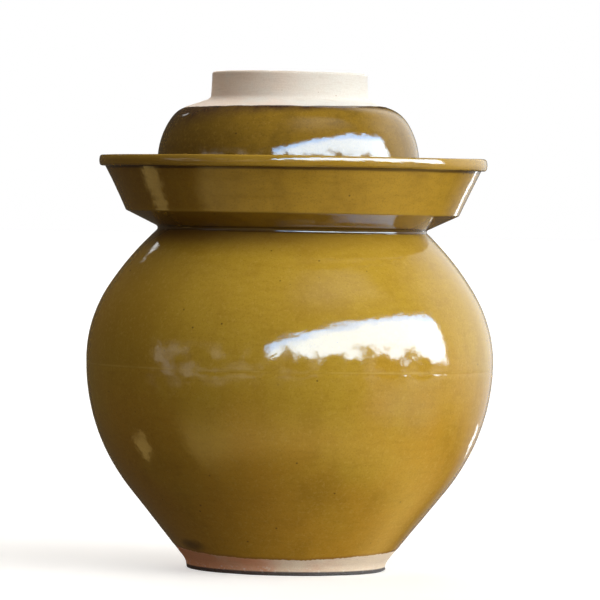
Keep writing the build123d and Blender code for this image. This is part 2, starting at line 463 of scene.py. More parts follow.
def crock_outside(theta, radius, height):
    seam = height - seam_height - 0.25 * outside_sway(theta, 0)
    return (
        0.12 * outside_sway(theta, height)
        + 0.022 * outside_dents(theta, height)
        + 0.012 * throwing_rings(theta, height, 6.5)
        + 0.012 * glaze_runs(theta, height)
        - 0.11 * bump(seam, 0.9) * (0.75 + 0.25 * outside_dents(theta, 0))
        + 0.020 * bump(seam + 2.6, 1.8)
    )


def crock_inside(theta, radius, height):
    return 0.25 * inside_sway(theta, height) + 0.30 * throwing_rings(theta, height, 9.0)


def moat_surface(theta, radius, height):
    return (
        0.10 * outside_sway(theta, height)
        + 0.035 * outside_dents(theta, height)
        + 0.014 * throwing_rings(theta, height, 5.0)
    )


def lid_outside(theta, radius, height):
    return (
        0.08 * outside_sway(theta, height)
        + 0.022 * outside_dents(theta, height)
        + 0.010 * throwing_rings(theta, height, 5.5)
    )


def bare_surface(theta, radius, height):
    return (
        0.06 * outside_sway(theta, height)
        + 0.04 * outside_dents(theta, height + radius)
        + 0.02 * throwing_rings(theta, height + radius, 1.9)
    )


def two_sided(outer, inner, inner_share):
    """A relief that goes from an outer one to an inner one along the outline."""
    share = inner_share[:, None]

    def relief(theta, radius, height):
        return outer(theta, radius, height) * (1 - share) + inner(theta, radius, height) * share

    return relief


# ---------------------------------------------------------------- lathe
def lengths(outline):
    steps = np.linalg.norm(np.diff(outline, axis=0), axis=1)
    return np.concatenate(([0], np.cumsum(steps)))


def past(outline, point):
    """How far each point of the outline is past the one nearest to the given point, along the outline."""
    along = lengths(outline)
    nearest = np.argmin(np.linalg.norm(outline - np.array(point), axis=1))
    return along - along[nearest]


def turning(outline, closed):
    """At each point: the direction in, the direction out, and the turn between them in radians."""
    before = np.roll(outline, 1, 0)
    after = np.roll(outline, -1, 0)
    if not closed:
        before[0] = 2 * outline[0] - outline[1]
        after[-1] = 2 * outline[-1] - outline[-2]
    into = outline - before
    out = after - outline
    into = into / np.linalg.norm(into, axis=1)[:, None]
    out = out / np.linalg.norm(out, axis=1)[:, None]
    turn = np.arctan2(into[:, 0] * out[:, 1] - into[:, 1] * out[:, 0], (into * out).sum(1))
    return into, out, turn


SHARP_TURN = radians(34)
GLAZE_ROLL = 0.06  # how far the roll at the glaze's edge stands out
GLAZE_DEPTH = 0.12  # how far bare clay lies below the glaze
ROUND = np.linspace(0, 2 * pi, AROUND, endpoint=False)[None, :]


def lathe(name, outline, relief, glaze_edge=None, inside=None, axis_x=0.0, settle=None):
    """A piece turned round the axis.

    relief(theta, radius, height) gives how far the surface stands out, settle how far it has sunk,
    glaze_edge the distance inside the glaze line, and inside the darker inner tone, also used as painted
    shade under the moat.
    """
    closed = outline[0][0] > 1e-6 and outline[-1][0] > 1e-6
    into, out, turn = turning(outline, closed)
    sharp = np.abs(turn) > SHARP_TURN
    steeper = np.where((np.abs(into[:, 1]) > np.abs(out[:, 1]))[:, None], into, out)
    way = np.where(sharp[:, None], steeper, into + out)
    way = way / np.linalg.norm(way, axis=1)[:, None]
    normal = np.column_stack((way[:, 1], -way[:, 0]))

    theta = ROUND
    radius, height = outline[:, :1], outline[:, 1:]
    count = len(outline)
    edge = np.full((count, AROUND), FULLY_GLAZED) if glaze_edge is None else glaze_edge(theta)
    raise_by = relief(theta, radius, height) + np.zeros((count, AROUND))
    glaze = GLAZE_ROLL * bump(edge - 2.0, 1.5) - GLAZE_DEPTH * ease(edge, 2.0, -0.4)
    on_axis = radius[:, 0] < 1e-6
    near_axis = ease(radius, 0, 8)
    raise_by = (raise_by + glaze) * near_axis
    radii = radius + normal[:, :1] * raise_by
    heights = height + normal[:, 1:] * raise_by
    if settle is not None:
        heights = heights - settle(theta, height)

    starts = np.zeros(count, int)
    total = 0
    for i in range(count):
        starts[i] = total
        total += 1 if on_axis[i] else AROUND
    co = np.zeros((total, 3))
    values = {"thin": np.zeros(total), "glaze_edge": np.zeros(total), "inside": np.zeros(total)}
    curvature = smoothed_turn(outline, np.where(sharp, 0, turn), closed)
    dark = np.zeros(count) if inside is None else inside
    for i in range(count):
        span = slice(starts[i], starts[i] + (1 if on_axis[i] else AROUND))
        if on_axis[i]:
            co[span] = (axis_x, 0, outline[i][1])
            values["glaze_edge"][span] = edge[i].mean()
        else:
            co[span, 0] = axis_x + radii[i] * np.cos(theta[0])
            co[span, 1] = radii[i] * np.sin(theta[0])
            co[span, 2] = heights[i]
            values["glaze_edge"][span] = edge[i]
        values["thin"][span] = curvature[i]
        values["inside"][span] = dark[i]

    faces = []
    turn_round = np.arange(AROUND)
    next_round = (turn_round + 1) % AROUND
    for i in range(count if closed else count - 1):
        j = (i + 1) % count
        a, b = starts[i], starts[j]
        if on_axis[i] and on_axis[j]:
            continue
        if on_axis[i]:
            faces += np.column_stack((np.full(AROUND, a), b + next_round, b + turn_round)).tolist()
        elif on_axis[j]:
            faces += np.column_stack((a + turn_round, a + next_round, np.full(AROUND, b))).tolist()
        else:
            quads = (a + turn_round, a + next_round, b + next_round, b + turn_round)
            faces += np.column_stack(quads).tolist()
    mesh = bpy.data.meshes.new(name)
    mesh.from_pydata((co * MM).tolist(), [], faces)
    mesh.shade_smooth()
    ring_of = np.full(total, -1)
    for i in range(count):
        if sharp[i] and not on_axis[i]:
            ring_of[starts[i]:starts[i] + AROUND] = i
    ends = np.zeros(len(mesh.edges) * 2, int)
    mesh.edges.foreach_get("vertices", ends)
    ends = ends.reshape(-1, 2)
    on_ring = (ring_of[ends[:, 0]] >= 0) & (ring_of[ends[:, 0]] == ring_of[ends[:, 1]])
    mesh.attributes.new("sharp_edge", "BOOLEAN", "EDGE").data.foreach_set("value", on_ring)
    for key, value in values.items():
        mesh.attributes.new(key, "FLOAT", "POINT").data.foreach_set("value", value.astype(np.float32))
    piece = bpy.data.objects.new(name, mesh)
    bpy.context.scene.collection.objects.link(piece)
    return piece


def smoothed_turn(outline, turn, closed):
    """How convex the outline is near each point, from -1 in a tight hollow to 1 on a tight edge."""
    along = lengths(outline)
    reach = 1.6
    total = np.zeros(len(outline))
    span = along[-1] + np.linalg.norm(outline[0] - outline[-1])
    for i in range(len(outline)):
        gap = np.abs(along - along[i])
        if closed:
            gap = np.minimum(gap, span - gap)
        weight = np.exp(-((gap / reach) ** 2))
        total[i] = (weight * turn).sum()
    return np.clip(total, -1, 1)


# ---------------------------------------------------------------- shader nodes
def node(tree, kind, inputs=None, **settings):
    made = tree.nodes.new(kind)
    for key, value in settings.items():
        setattr(made, key, value)
    for key, value in (inputs or {}).items():
        if isinstance(value, bpy.types.NodeSocket):
            tree.links.new(value, made.inputs[key])
        else:
            made.inputs[key].default_value = value
    return made


def attribute(tree, name):
    return node(tree, "ShaderNodeAttribute", attribute_name=name).outputs["Fac"]


def stretched(tree, vector, scale):
    return node(tree, "ShaderNodeMapping", {"Vector": vector, "Scale": scale}).outputs["Vector"]


def noise_at(tree, vector, scale, detail=3.0, roughness=0.5):
    inputs = {"Vector": vector, "Scale": scale, "Detail": detail, "Roughness": roughness}
    return node(tree, "ShaderNodeTexNoise", inputs).outputs["Fac"]


def ranged(tree, value, low, high, to_low=0.0, to_high=1.0, smooth=True):
    made = node(
        tree,
        "ShaderNodeMapRange",
        {"Value": value, "From Min": low, "From Max": high, "To Min": to_low, "To Max": to_high},
        interpolation_type="SMOOTHSTEP" if smooth else "LINEAR",
    )
    return made.outputs["Result"]


def maths(tree, operation, *values):
    return node(tree, "ShaderNodeMath", dict(enumerate(values)), operation=operation).outputs["Value"]


def times(tree, first, second):
    return maths(tree, "MULTIPLY", first, second)


def between(tree, value, low, high, soft):
    """1 between two limits, with soft ends."""
    rise = ranged(tree, value, low - soft, low + soft)
    return times(tree, rise, ranged(tree, value, high + soft, high - soft))


def mixed(tree, share, first, second, blend="MIX"):
    made = node(tree, "ShaderNodeMix", {"Factor": share}, data_type="RGBA", blend_type=blend)
    for socket, value in ((made.inputs[6], first), (made.inputs[7], second)):
        if isinstance(value, bpy.types.NodeSocket):
            tree.links.new(value, socket)
        else:
            socket.default_value = (*value, 1.0)
    return made.outputs[2]


def new_material(name):
    material = bpy.data.materials.new(name)
    material.use_nodes = True
    tree = material.node_tree
    shader = tree.nodes["Principled BSDF"]
    place = node(tree, "ShaderNodeTexCoord").outputs["Object"]
    return material, tree, shader, place


def bumped(tree, height, strength, distance, normal=None):
    inputs = {"Height": height, "Strength": strength, "Distance": distance}
    if normal is not None:
        inputs["Normal"] = normal
    return node(tree, "ShaderNodeBump", inputs).outputs["Normal"]


def clay_colours(tree, place, clay):
    """Fired clay: a darker, warmer tint on the left as painted shade and warm reflected light, fine grain,
    and a few dark specks.
    """
    pale, shaded_tint, dark = clay
    side = node(tree, "ShaderNodeSeparateXYZ", {"Vector": place}).outputs["X"]
    drift = ranged(tree, noise_at(tree, place, 30.0, 4.0, 0.55), 0.3, 0.7, -0.035, 0.035, False)
    # painted shade and warm reflected light: the left side gets the darker warm tint
    colour = mixed(tree, ranged(tree, maths(tree, "ADD", side, drift), -0.055, 0.035), shaded_tint, pale)
    turned = noise_at(tree, stretched(tree, place, (1, 1, 9)), 130.0, 4.0, 0.6)
    colour = mixed(tree, ranged(tree, turned, 0.45, 0.75, 0.0, 0.16), colour, dark)
    scuffs = ranged(tree, noise_at(tree, place, 60.0, 6.0, 0.7), 0.55, 0.72, 0.0, 0.35)
    colour = mixed(tree, scuffs, colour, pale)
    grain = noise_at(tree, place, 1400.0, 2.0, 0.6)
    cells = node(tree, "ShaderNodeTexVoronoi", {"Vector": place, "Scale": 300.0}).outputs
    spot = ranged(tree, cells["Distance"], 0.06, 0.16, 0.8, 0.0)
    chosen = node(tree, "ShaderNodeSeparateColor", {"Color": cells["Color"]}).outputs["Red"]
    specks = times(tree, spot, ranged(tree, chosen, 0.90, 0.93))
    colour = mixed(tree, specks, colour, dark)
    return mixed(tree, ranged(tree, grain, 0.3, 0.7, 0.0, 0.14), colour, dark), grain, turned


def clay_material(name, clay):
    material, tree, shader, place = new_material(name)
    colour, grain, turned = clay_colours(tree, place, clay)
    tree.links.new(colour, shader.inputs["Base Color"])
    tree.links.new(ranged(tree, grain, 0.3, 0.7, 0.72, 0.92), shader.inputs["Roughness"])
    rough = bumped(tree, turned, 0.25, 0.0005)
    tree.links.new(bumped(tree, grain, 0.4, 0.00022, rough), shader.inputs["Normal"])
    shader.inputs["Specular IOR Level"].default_value = 0.25
    return material


# Clay tones, as pale, a warm tint for the left that paints shade and reflected light, and dark
FOOT_CLAY = ((0.86, 0.72, 0.55), (0.74, 0.34, 0.19), (0.34, 0.16, 0.08))
LID_CLAY = ((0.83, 0.82, 0.77), (0.90, 0.76, 0.65), (0.48, 0.37, 0.28))
# near black: dirt on the standing edge and a painted contact shadow under the foot
EDGE_DIRT_AND_SHADOW = (0.014, 0.009, 0.007)
SAND = (0.86, 0.80, 0.72)
SEAM_LIP = 0.0004
NO_SMEAR = (0.0, 0.0, -1.0)  # a place far from the piece
STONE_CLAY = ((0.47, 0.36, 0.27), (0.40, 0.27, 0.18), (0.18, 0.11, 0.07))

# Each glaze: gold high up, amber lower down, brown clouds, pale where thin, dark where the glaze pools and
# along its hem, the darker tone of the inner surfaces (also painted as shade under the moat), the stretch
# along x over which the left is darkened as painted shade, and the place of a dark smear, as (x, y, 3 z)
CROCK_GLAZE = {
    "gold": (0.500, 0.325, 0.034),
    "amber": (0.505, 0.272, 0.026),
    "cloud": (0.300, 0.155, 0.010),
    "thin": (0.62, 0.42, 0.085),
    "pool": (0.060, 0.028, 0.008),
    "hem": (0.380, 0.190, 0.030),
    "inside": (0.150, 0.075, 0.022),
    "left_shade": (-0.045, -0.105),
    "smear": (-0.049, -0.036, 0.0465),
}
# a darker, more saturated copy of the crock glaze: partly the moat's own colour, partly painted shade
MOAT_GLAZE_SHADED = dict(
    CROCK_GLAZE,
    gold=(0.500, 0.300, 0.028),
    cloud=(0.200, 0.100, 0.010),
    thin=(0.43, 0.275, 0.040),
    inside=(0.100, 0.050, 0.008),
    left_shade=(-0.015, -0.085),
)
LID_GLAZE = {
    "gold": (0.300, 0.178, 0.018),
    "amber": (0.300, 0.168, 0.016),
    "cloud": (0.090, 0.050, 0.008),
    "thin": (0.40, 0.25, 0.050),
    "pool": (0.030, 0.016, 0.008),
    "hem": (0.045, 0.019, 0.018),
    "inside": (0.150, 0.075, 0.022),
    "left_shade": (-0.010, -0.066),
    "smear": NO_SMEAR,
}


def glaze_colours(tree, place, tones):
    """The colour of the glaze away from its edge, and the cloudiness that it shares with the gloss."""
    thin = attribute(tree, "thin")
    inside = attribute(tree, "inside")
    parts = node(tree, "ShaderNodeSeparateXYZ", {"Vector": place}).outputs
    side, height = parts["X"], parts["Z"]
    drift = ranged(tree, noise_at(tree, place, 14.0, 3.0, 0.5), 0.3, 0.7, -0.05, 0.05, False)
    colour = mixed(
        tree, ranged(tree, maths(tree, "ADD", height, drift), 0.03, 0.14), tones["amber"], tones["gold"]
    )
    # painted shade: above the belly, the left side, away from the lamp, is darkened towards the cloud tone
    smoke_start, smoke_end = tones["left_shade"]
    left_shade = ranged(
        tree, maths(tree, "ADD", side, times(tree, drift, 0.3)), smoke_start, smoke_end
    )
    left_shade = times(tree, left_shade, ranged(tree, height, 0.08, 0.15, 0.0, 0.65))
    colour = mixed(tree, left_shade, colour, tones["cloud"])
    cloud = noise_at(tree, stretched(tree, place, (1.0, 1.0, 0.6)), 30.0, 5.0, 0.62)
    colour = mixed(tree, ranged(tree, cloud, 0.46, 0.78, 0.0, 0.50), colour, tones["cloud"])
    runs = noise_at(tree, stretched(tree, place, (1.0, 1.0, 0.12)), 110.0, 4.0, 0.6)
    colour = mixed(tree, ranged(tree, runs, 0.50, 0.80, 0.0, 0.22), colour, tones["cloud"])
    brushed = noise_at(tree, stretched(tree, place, (1.0, 1.0, 4.0)), 90.0, 5.0, 0.65)
    colour = mixed(tree, ranged(tree, brushed, 0.42, 0.75, 0.0, 0.24), colour, tones["cloud"])
    milky = noise_at(tree, place, 520.0, 4.0, 0.7)
    colour = mixed(tree, ranged(tree, milky, 0.48, 0.76, 0.0, 0.42), colour, tones["thin"])
    mottle = noise_at(tree, place, 1100.0, 2.0, 0.6)
    colour = mixed(tree, ranged(tree, mottle, 0.48, 0.76, 0.0, 0.40), colour, tones["cloud"])

    worn = maths(tree, "ADD", thin, ranged(tree, cloud, 0.3, 0.7, -0.10, 0.10, False))
    colour = mixed(tree, ranged(tree, worn, 0.12, 0.80, 0.0, 0.45), colour, tones["thin"])
    colour = mixed(tree, ranged(tree, worn, -0.10, -0.70, 0.0, 0.80), colour, tones["pool"])
    seam = maths(tree, "SUBTRACT", height, (seam_height + 0.9) * MM)
    lip = maths(
        tree,
        "MULTIPLY",
        between(tree, seam, -SEAM_LIP, SEAM_LIP, SEAM_LIP),
        ranged(tree, cloud, 0.60, 0.40),
    )
    colour = mixed(tree, times(tree, lip, 0.55), colour, tones["thin"])
    colour = mixed(tree, inside, colour, tones["inside"])

    cells = node(tree, "ShaderNodeTexVoronoi", {"Vector": place, "Scale": 190.0}).outputs
    dot = ranged(tree, cells["Distance"], 0.04, 0.16, 0.75, 0.0)
    chosen = node(tree, "ShaderNodeSeparateColor", {"Color": cells["Color"]}).outputs["Red"]
    dots = times(tree, dot, ranged(tree, chosen, 0.90, 0.93))
    colour = mixed(tree, dots, colour, tones["pool"])

    off_smear = node(
        tree, "ShaderNodeVectorMath",
        {0: stretched(tree, place, (1.0, 1.0, 3.0)), 1: tones["smear"]}, operation="DISTANCE",
    ).outputs["Value"]
    off_smear = maths(tree, "ADD", off_smear, ranged(tree, cloud, 0.3, 0.7, -0.005, 0.005, False))
    return mixed(tree, ranged(tree, off_smear, 0.015, 0.003, 0.0, 0.65), colour, tones["pool"]), cloud, runs


def glaze_material(name, tones, clay, hem_width):
    """Ash glaze over clay. It is dark along its hem, and beyond the hem the clay is bare."""
    material, tree, shader, place = new_material(name)
    colour, cloud, runs = glaze_colours(tree, place, tones)
    edge = attribute(tree, "glaze_edge")
    fumed = maths(
        tree, "MULTIPLY", ranged(tree, edge, hem_width, 0.8), ranged(tree, runs, 0.35, 0.65, 0.65, 1.0)
    )
    colour = mixed(tree, fumed, colour, tones["hem"])

    bare, grain, turned = clay_colours(tree, place, clay)
    height = node(tree, "ShaderNodeSeparateXYZ", {"Vector": place}).outputs["Z"]
    # dirt and painted contact shadow: the bare clay turns near black in its lowest 2.8 mm
    bare = mixed(tree, ranged(tree, height, 0.0028, 0.0019, 0.0, 0.96), bare, EDGE_DIRT_AND_SHADOW)
    sand = maths(
        tree, "MULTIPLY", ranged(tree, noise_at(tree, place, 420.0, 4.0, 0.7), 0.56, 0.64, 0.0, 0.6),
        between(tree, height, 0.0022, 0.0050, 0.0008),
    )
    bare = mixed(tree, sand, bare, SAND)
    fray = ranged(tree, noise_at(tree, place, 600.0, 3.0), 0.3, 0.7, -0.30, 0.30, False)
    glazed = ranged(tree, maths(tree, "ADD", edge, fray), -0.15, 0.25)
    tree.links.new(mixed(tree, glazed, bare, colour), shader.inputs["Base Color"])

    gloss = ranged(tree, cloud, 0.35, 0.75, 0.05, 0.12, False)
    clay_rough = ranged(tree, grain, 0.3, 0.7, 0.72, 0.92)
    rough = node(tree, "ShaderNodeMix", {"Factor": glazed, "A": clay_rough, "B": gloss}).outputs["Result"]
    tree.links.new(rough, shader.inputs["Roughness"])

    peel = noise_at(tree, place, 230.0, 3.0, 0.5)
    pits = noise_at(tree, place, 900.0, 2.0, 0.5)
    inside = attribute(tree, "inside")
    peel_depth = ranged(tree, inside, 0.0, 1.0, 0.15, 0.02)
    pit_depth = ranged(tree, inside, 0.0, 1.0, 0.05, 0.0)
    glaze_skin = bumped(tree, pits, pit_depth, 0.0002, bumped(tree, peel, peel_depth, 0.0006))
    clay_skin = bumped(tree, grain, 0.4, 0.00022, bumped(tree, turned, 0.25, 0.0005))
    skin = node(tree, "ShaderNodeMix", {"Factor": glazed}, data_type="VECTOR")
    tree.links.new(clay_skin, skin.inputs[4])
    tree.links.new(glaze_skin, skin.inputs[5])
    tree.links.new(skin.outputs[1], shader.inputs["Normal"])
    shader.inputs["IOR"].default_value = 1.52
    return material


crock_glaze = glaze_material("crock_glaze", CROCK_GLAZE, FOOT_CLAY, 2.5)
moat_glaze_shaded = glaze_material("moat_glaze_shaded", MOAT_GLAZE_SHADED, FOOT_CLAY, 2.5)
lid_glaze = glaze_material("lid_glaze", LID_GLAZE, LID_CLAY, 17.0)
lid_clay = clay_material("lid_clay", LID_CLAY)
stone_clay = clay_material("stone_clay", STONE_CLAY)


def finish_piece(piece, body, material, slot, *nodes):
    piece.data.materials.append(material)
    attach(piece, body)
    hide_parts(*nodes)
    return piece


# ---------------------------------------------------------------- crock
def make_lower_half():
    outline = lower_half_outline()
    from_foot = past(outline, (foot_radius, 1.0))
    from_seam = past(outline, (belly_radius, seam_height))
    inside = (from_seam > TOUCHING).astype(float)

    def glaze_edge(theta):
        """The line where the glaze was wiped off the foot, highest on the left and the right."""
        turn = theta + pi / 2
        wave = 1.9 * np.cos(2 * turn + radians(205)) + 1.0 * np.cos(turn + radians(120))
        wave = wave + 0.35 * glaze_hem(theta, 0) + 0.10 * fine_hem(theta, 0)
        return from_foot[:, None] - hem_height - wave

    relief = two_sided(crock_outside, crock_inside, inside)
    piece = lathe("crock_lower", outline, relief, glaze_edge, inside)
    return finish_piece(piece, "crock", crock_glaze, "glaze", "crock_lower_half")


def make_upper_half():
    outline = upper_half_outline()
    top = on_shoulder(collar_height)
    inside = (past(outline, on_arc(shoulder_centre, shoulder_radius, top)) > TOUCHING).astype(float)
    # painted shadow of the moat on the top of the shoulder, strongest on the left, in the darker inner tone
    moat_shadow = ease(outline[:, 1:], moat_root - 17, moat_root) * (0.50 - 0.48 * np.cos(ROUND))
    dark = np.maximum(moat_shadow, inside[:, None])
    piece = lathe("crock_upper", outline, two_sided(crock_outside, crock_inside, inside), inside=dark)
    return finish_piece(piece, "crock", crock_glaze, "glaze", "crock_upper_half")


def make_collar():
    outline = collar_outline()
    from_top = past(outline, ((neck_radius + mouth_radius) / 2, mouth_height))
    inside = ease(from_top, 4, 14)

    def glaze_edge(theta):
        return np.abs(from_top)[:, None] - 2.6 - 0.3 * fine_hem(theta, 0)

    relief = two_sided(crock_outside, crock_inside, inside)
    piece = lathe("mouth_neck", outline, relief, glaze_edge, inside)
    return finish_piece(piece, "crock", crock_glaze, "glaze", "mouth_collar")


def make_moat():
    outline = moat_outline()
    past_root = past(outline, moat_corner)
    # painted shade under the moat, in the darker inner tone
    underside_shade = 0.55 * ease(past_root, 0.8, -0.8)
    past_rim = past(outline, (rim_radius - rim_width, rim_height))

    def settle(theta, height):
        """The rim sank a little in the kiln, most on the left."""
        sunk = ease(height, rim_height - 3 * rim_depth, rim_height)
        return sunk * (0.4 + 0.45 * (1 - np.cos(theta)))

    dark = np.maximum(underside_shade, ease(past_rim, 0, 4))
    piece = lathe("moat", outline, moat_surface, inside=dark, settle=settle)
    return finish_piece(piece, "crock", moat_glaze_shaded, "glaze", "water_moat")


# ---------------------------------------------------------------- lid
def make_lid_bowl():
    outline = lid_bowl_outline()
    line_point = on_arc(corner_centre, lid_corner_radius, lid_corner_angle)
    past_line = past(outline, line_point)
    past_rim = past(outline, (lid_skirt_radius - lid_skirt_wall / 2, lid_bottom))
    outside = past_rim > 0

    def glaze_edge(theta):
        tilt = 3.0 * np.cos(theta)
        wave = tilt + 0.5 * glaze_hem(theta, 50) + 0.2 * fine_hem(theta, 0)
        outer = (wave - past_line[:, None]) * (1.7 + 1.1 * np.cos(theta))
        rim = np.abs(past_rim)[:, None] - 3.0 - 0.4 * fine_hem(theta, 9)
        return np.minimum(np.where(outside[:, None], outer, FULLY_GLAZED - 1), rim)

    inside = ease(past_rim, -3, -13)
    relief = two_sided(lid_outside, crock_inside, inside)
    piece = lathe("lid_dome", outline, relief, glaze_edge, inside, lid_shift)
    return finish_piece(piece, "lid", lid_glaze, "glaze", "lid_bowl")


def make_lid_ring():
    piece = lathe("lid_ring", lid_ring_outline(), bare_surface, axis_x=lid_shift)
    return finish_piece(piece, "lid", lid_clay, "bare_clay", "lid_foot_ring")


# ---------------------------------------------------------------- inner lid
def make_inner_lid():
    outline = plate_outline()
    past_rest = past(outline, ((spigot_radius + plate_radius) / 2, mouth_height))

    def glaze_edge(theta):
        return np.abs(past_rest)[:, None] - 3.6 - 0.3 * fine_hem(theta, 4)

    def relief(theta, radius, height):
        rings = 0.09 * throwing_rings(theta, radius + height, 6.0)
        return 0.06 * outside_dents(theta, height + radius) + rings

    plate = lathe("inner_lid_disc", outline, relief, glaze_edge)
    finish_piece(plate, "inner_lid", lid_glaze, "glaze", "inner_lid_plate")
    knob = lathe("inner_lid_grip", knob_outline(), relief)
    return finish_piece(knob, "inner_lid", lid_glaze, "glaze", "inner_lid_knob")


# ---------------------------------------------------------------- weight stones
def make_stone(side):
    """A half-moon of coarse stoneware: the CAD solid's skin, remeshed and worn."""
    name = f"weight_stone_{side}"
    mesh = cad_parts[name].data.copy()
    piece = bpy.data.objects.new(f"stone_{side}", mesh)
    mesh.name = piece.name
    mesh.materials.clear()
    bpy.context.scene.collection.objects.link(piece)
    remesh = piece.modifiers.new("skin", "REMESH")
    remesh.mode = "VOXEL"
    remesh.voxel_size = 0.9 * MM
    smooth = piece.modifiers.new("soften", "SMOOTH")
    smooth.iterations = 6
    depsgraph = bpy.context.evaluated_depsgraph_get()
    skin = bpy.data.meshes.new_from_object(piece.evaluated_get(depsgraph))
    skin.name = piece.name
    piece.modifiers.clear()
    piece.data = skin
    bpy.data.meshes.remove(mesh)
    places = np.zeros(len(skin.vertices) * 3)
    normals = np.zeros(len(skin.vertices) * 3)
    skin.vertices.foreach_get("co", places)
    skin.vertex_normals.foreach_get("vector", normals)
    places, normals = places.reshape(-1, 3) / MM, normals.reshape(-1, 3)
    wear = [
        0.12
        + 0.35 * abs(noise.fractal(Vector(place * 0.045), 1.0, 2.0, 3))
        + 0.10 * abs(noise.fractal(Vector(place * 0.35), 1.0, 2.0, 3))
        for place in places
    ]
    worn = (places - normals * np.array(wear)[:, None]) * MM
    skin.vertices.foreach_set("co", worn.ravel())
    skin.update()
    skin.shade_smooth()
    return finish_piece(piece, f"weight_{side}", stone_clay, "weight_clay", name)


make_lower_half()
make_upper_half()
make_collar()
make_moat()
make_lid_bowl()
make_lid_ring()
make_inner_lid()
for side in ("left", "right"):
    make_stone(side)


# ---------------------------------------------------------------- floor and light
LAMP_AZIMUTH = 60
LAMP_ELEVATION = 25
LAMP_FOCUS = 8
LAMP_LIGHT = 1.0
BACK_AZIMUTH = -172
BACK_ELEVATION = 25
BACK_FOCUS = 20
BACK_LIGHT = 0.6
SKY_LIGHT = 0.5
TABLE_LIGHT = 0.10
PATCH_LIGHT = 0.8
LAMP_PATCH = (0.22, -0.12, 0.0)
ROOM_LIGHT = 0.13
WINDOW_LEFT = -13
WINDOW_RIGHT = 99.5
WINDOW_MIDDLE = 54
WINDOW_HEAD = 36
WINDOW_LIGHT = 21
ROOM_GLOSS = 0.07
BEHIND_LIGHT = 1.25
OVERHEAD_LIGHT = 1.4
SKYLINE_LIGHT = 1.3
TABLE_GLOSS = 1.2
# Reflectors, as lowest and highest azimuth, lowest and highest elevation, softness and strength
LEFT_GLOW = (-151.0, -147.0, 24.0, 29.0, 1.2, 2.6)
LOW_GLOW = (155.0, 159.0, -12.0, -9.4, 0.4, 6.0)
TABLE_GLEAM = (-119.0, -105.0, -33.0, -26.0, 1.5, 1.1)
HAZE = (50.0, 96.0, -20.0, -13.0, 14.0, 2.0)
CAMERA_PLACE = (0.0053, -2.65, 0.205)
CAMERA_DIP = 1.139
CAMERA_ROLL = 1.05
CAMERA_LENS = 280.8


def make_floor():
    """White paper for the camera. The crock sees a glowing brown table, with a painted pool of lamp light
    on it.
    """
    size = 30.0
    mesh = bpy.data.meshes.new("floor")
    corners = [(-size, -size, 0), (size, -size, 0), (size, size, 0), (-size, size, 0)]
    mesh.from_pydata(corners, [], [(0, 1, 2, 3)])
    floor = bpy.data.objects.new("floor", mesh)
    bpy.context.scene.collection.objects.link(floor)
    floor.visible_glossy = False
    material, tree, shader, place = new_material("floor_paper")
    paper = ranged(tree, noise_at(tree, place, 40.0, 4.0), 0.3, 0.7)
    tree.links.new(mixed(tree, paper, (0.60, 0.60, 0.60), (0.63, 0.63, 0.63)), shader.inputs["Base Color"])
    shader.inputs["Roughness"].default_value = 0.9
    shader.inputs["Specular IOR Level"].default_value = 0.0
    shader.inputs["Emission Color"].default_value = (1, 1, 1, 1)
    shader.inputs["Emission Strength"].default_value = 0.50

    # painted pool of lamp light: an emission patch on the table that only non-camera rays see
    off_patch = node(
        tree, "ShaderNodeVectorMath", {0: place, 1: LAMP_PATCH}, operation="DISTANCE"
    ).outputs["Value"]
    patch = node(
        tree, "ShaderNodeEmission",
        {"Color": (1.0, 0.96, 0.90, 1), "Strength": ranged(tree, off_patch, 0.32, 0.05, 0.0, PATCH_LIGHT)},
    )
    table = node(tree, "ShaderNodeEmission", {"Color": (1.0, 0.80, 0.58, 1), "Strength": TABLE_LIGHT})
    bounce = node(tree, "ShaderNodeAddShader", {0: patch.outputs[0], 1: table.outputs[0]}).outputs[0]
    seen = node(tree, "ShaderNodeLightPath").outputs["Is Camera Ray"]
    both = node(tree, "ShaderNodeMixShader", {0: seen, 1: bounce, 2: shader.outputs[0]}).outputs[0]
    tree.links.new(both, tree.nodes["Material Output"].inputs["Surface"])
    mesh.materials.append(material)


def toward(azimuth, elevation):
    """Azimuth 0 is towards the camera, and 90 is to its right."""
    level = cos(radians(elevation))
    return level * sin(radians(azimuth)), -level * cos(radians(azimuth)), sin(radians(elevation))


def tinted(tree, strength, colour):
    return node(tree, "ShaderNodeBackground", {"Color": (*colour, 1), "Strength": strength}).outputs[0]


def together(tree, *lights):
    total = lights[0]
    for light in lights[1:]:
        total = node(tree, "ShaderNodeAddShader", {0: total, 1: light}).outputs[0]
    return total


def card(tree, azimuth, elevation, low_az, high_az, low_el, high_el, soft, strength):
    """A plain reflector, that only the gloss sees."""
    shape = maths(
        tree, "MULTIPLY", between(tree, azimuth, low_az, high_az, soft),
        between(tree, elevation, low_el, high_el, soft),
    )
    return times(tree, shape, strength)


def lobe(tree, way, azimuth, elevation, focus, light):
    """A round patch of light that gives a white surface facing it the brightness light."""
    facing = node(
        tree, "ShaderNodeVectorMath", {0: way, 1: toward(azimuth, elevation)}, operation="DOT_PRODUCT"
    ).outputs["Value"]
    shape = maths(tree, "POWER", maths(tree, "MAXIMUM", facing, 0.0), float(focus))
    return times(tree, shape, light * (focus + 2) / 2)


def matt_light(tree, way, up):
    """The light on matt surfaces: a lamp at the right, one behind, a dim sky, and a little all round."""
    lamp = lobe(tree, way, LAMP_AZIMUTH, LAMP_ELEVATION, LAMP_FOCUS, LAMP_LIGHT)
    back = lobe(tree, way, BACK_AZIMUTH, BACK_ELEVATION, BACK_FOCUS, BACK_LIGHT)
    sky = times(tree, maths(tree, "MAXIMUM", up, 0.0), SKY_LIGHT)
    return together(
        tree,
        tinted(tree, lamp, (1.0, 0.985, 0.96)),
        tinted(tree, back, (1.0, 0.96, 0.90)),
        tinted(tree, sky, (1.0, 0.98, 0.94)),
        tinted(tree, ROOM_LIGHT, (1.0, 0.82, 0.62)),
    )


